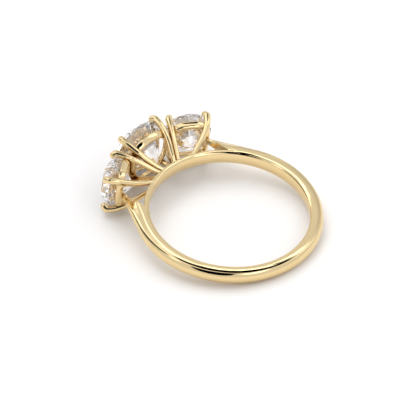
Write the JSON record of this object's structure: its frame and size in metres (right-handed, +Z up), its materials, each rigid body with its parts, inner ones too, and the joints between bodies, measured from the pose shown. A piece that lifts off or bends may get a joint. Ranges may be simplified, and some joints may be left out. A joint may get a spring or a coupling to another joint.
{
  "type": "three stone ring",
  "caption": "Finger ring lying on its side: domed band, pierced rising shoulders and a row of round brilliant stones in leaning prong baskets with gallery rails.",
  "frame": {"origin": "centre of the lying ring's box, on the surface that the ring lies on", "axes": "+Z up from the surface; +Y from the back of the band towards the stones; the finger hole runs along Z, tipped back by the resting tilt"},
  "size_m": [0.02, 0.0246, 0.0066],
  "materials": {
    "yellow_gold": "polished yellow gold with fine wear",
    "white_stone": "polished facets, clear and colourless"
  },
  "bodies": {
    "root": {"mount": "yellow_gold", "centre_stone": "white_stone", "left_stone": "white_stone", "right_stone": "white_stone"}
  },
  "joints": []
}
